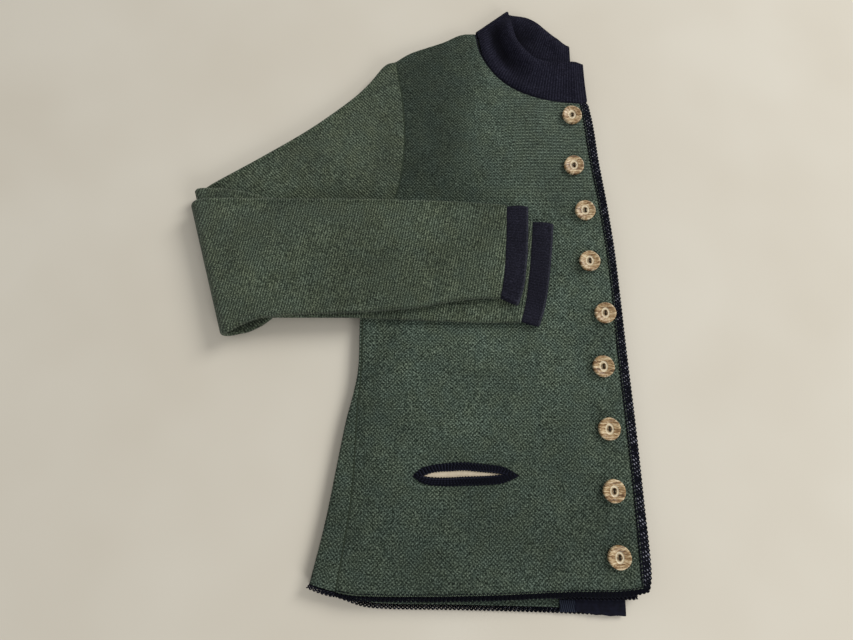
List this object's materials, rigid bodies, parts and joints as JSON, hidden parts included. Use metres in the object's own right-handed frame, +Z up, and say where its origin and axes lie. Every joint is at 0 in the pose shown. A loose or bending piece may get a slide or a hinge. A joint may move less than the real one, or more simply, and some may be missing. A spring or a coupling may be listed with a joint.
{
  "type": "folded trachten cardigan",
  "caption": "Green knitted cardigan with navy stand collar, cuffs, crocheted edging and antler buttons, folded lengthwise and lying flat with both sleeves folded across.",
  "frame": {"origin": "middle of the footprint, on the surface the cardigan lies on", "axes": "+Z up, away from the surface; +Y from the hem to the collar; +X towards the right front's free edge"},
  "size_m": [0.4066, 0.5736, 0.0249],
  "materials": {
    "green_knit": "matte wool knit, heathered green",
    "navy_knit": "matte ribbed wool knit, dark navy",
    "navy_crochet": "matte crocheted wool edging, dark navy",
    "lining": "matte cotton, pale cream",
    "antler": "semi-matte carved antler, tan with brown grain"
  },
  "bodies": {
    "root": {"right_front": "green_knit", "back": "green_knit", "left_front": "green_knit", "right_sleeve": "green_knit", "left_sleeve": "green_knit", "right_cuff": "navy_knit", "left_cuff": "navy_knit", "collar": "navy_knit", "right_front_trim": "navy_crochet", "back_hem_trim": "navy_crochet", "left_front_trim": "navy_crochet", "left_front_facing": "navy_crochet", "pocket_trim": "navy_crochet", "pocket_lining": "lining", "button_1": "antler", "button_2": "antler", "button_3": "antler", "button_4": "antler", "button_5": "antler", "button_6": "antler", "button_7": "antler", "button_8": "antler", "button_9": "antler"}
  },
  "joints": []
}
